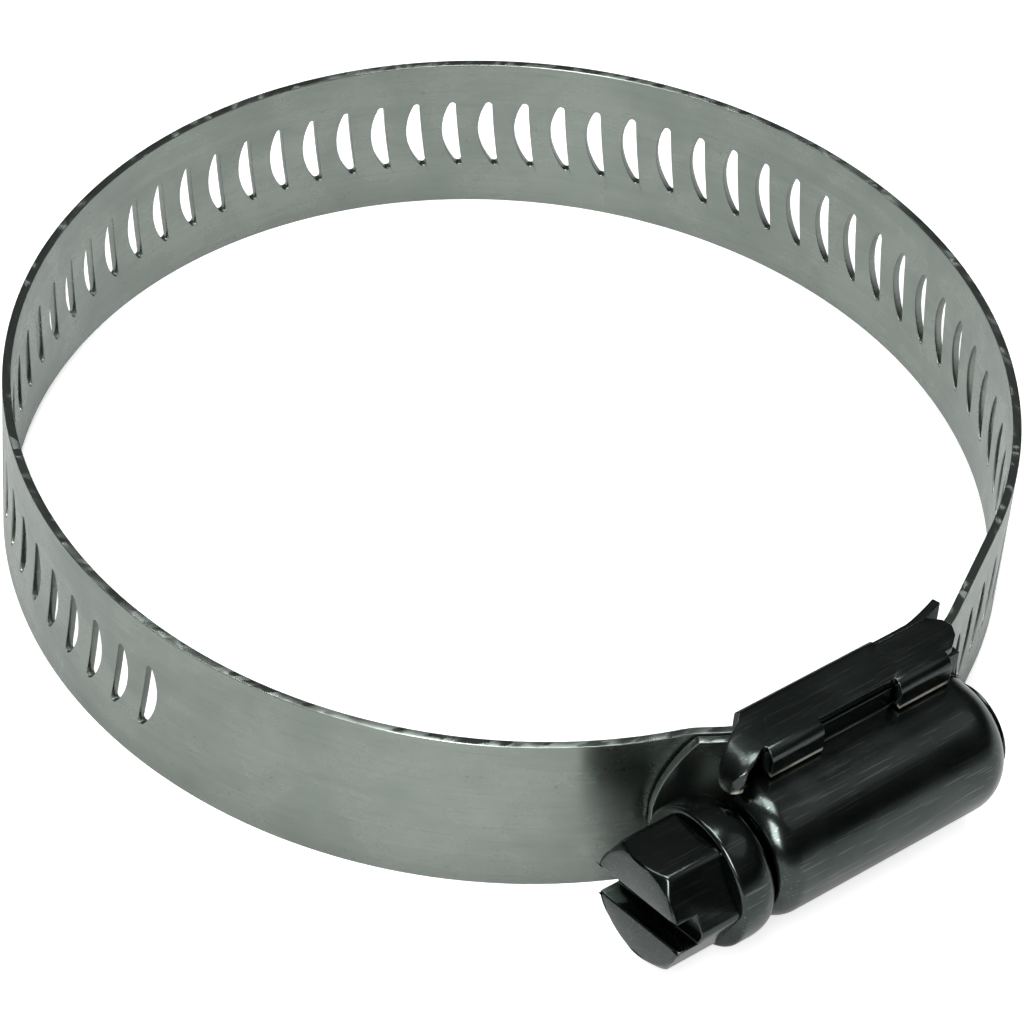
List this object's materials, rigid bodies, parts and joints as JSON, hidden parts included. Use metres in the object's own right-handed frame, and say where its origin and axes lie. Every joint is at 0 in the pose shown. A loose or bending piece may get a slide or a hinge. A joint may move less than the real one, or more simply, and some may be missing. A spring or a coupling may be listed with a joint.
{
  "type": "worm-drive hose clamp",
  "caption": "Worm-drive hose clamp: a slotted steel band looped through a head with a saddle, a barrel housing and a slotted hex worm screw.",
  "frame": {"origin": "centre of the hose bore, on the band's mid-plane", "axes": "+Z along the bore's axis, -Y towards the head, the screw along X with its hexagon at -X"},
  "size_m": [0.0688, 0.0773, 0.0144],
  "materials": {
    "band_steel": "satin stainless strip, faint fine streaks",
    "head_steel": "polished stainless, dark"
  },
  "bodies": {
    "clamp": {"band": "band_steel", "saddle": "head_steel", "housing": "head_steel"},
    "screw": {"worm_screw": "head_steel"}
  },
  "joints": [
    {"name": "worm_turn", "type": "hinge", "parent": "clamp", "child": "screw", "pos_m": [0, -0.038, 0], "axis": [1, 0, 0], "continuous": true, "deforming": ["band"]}
  ]
}
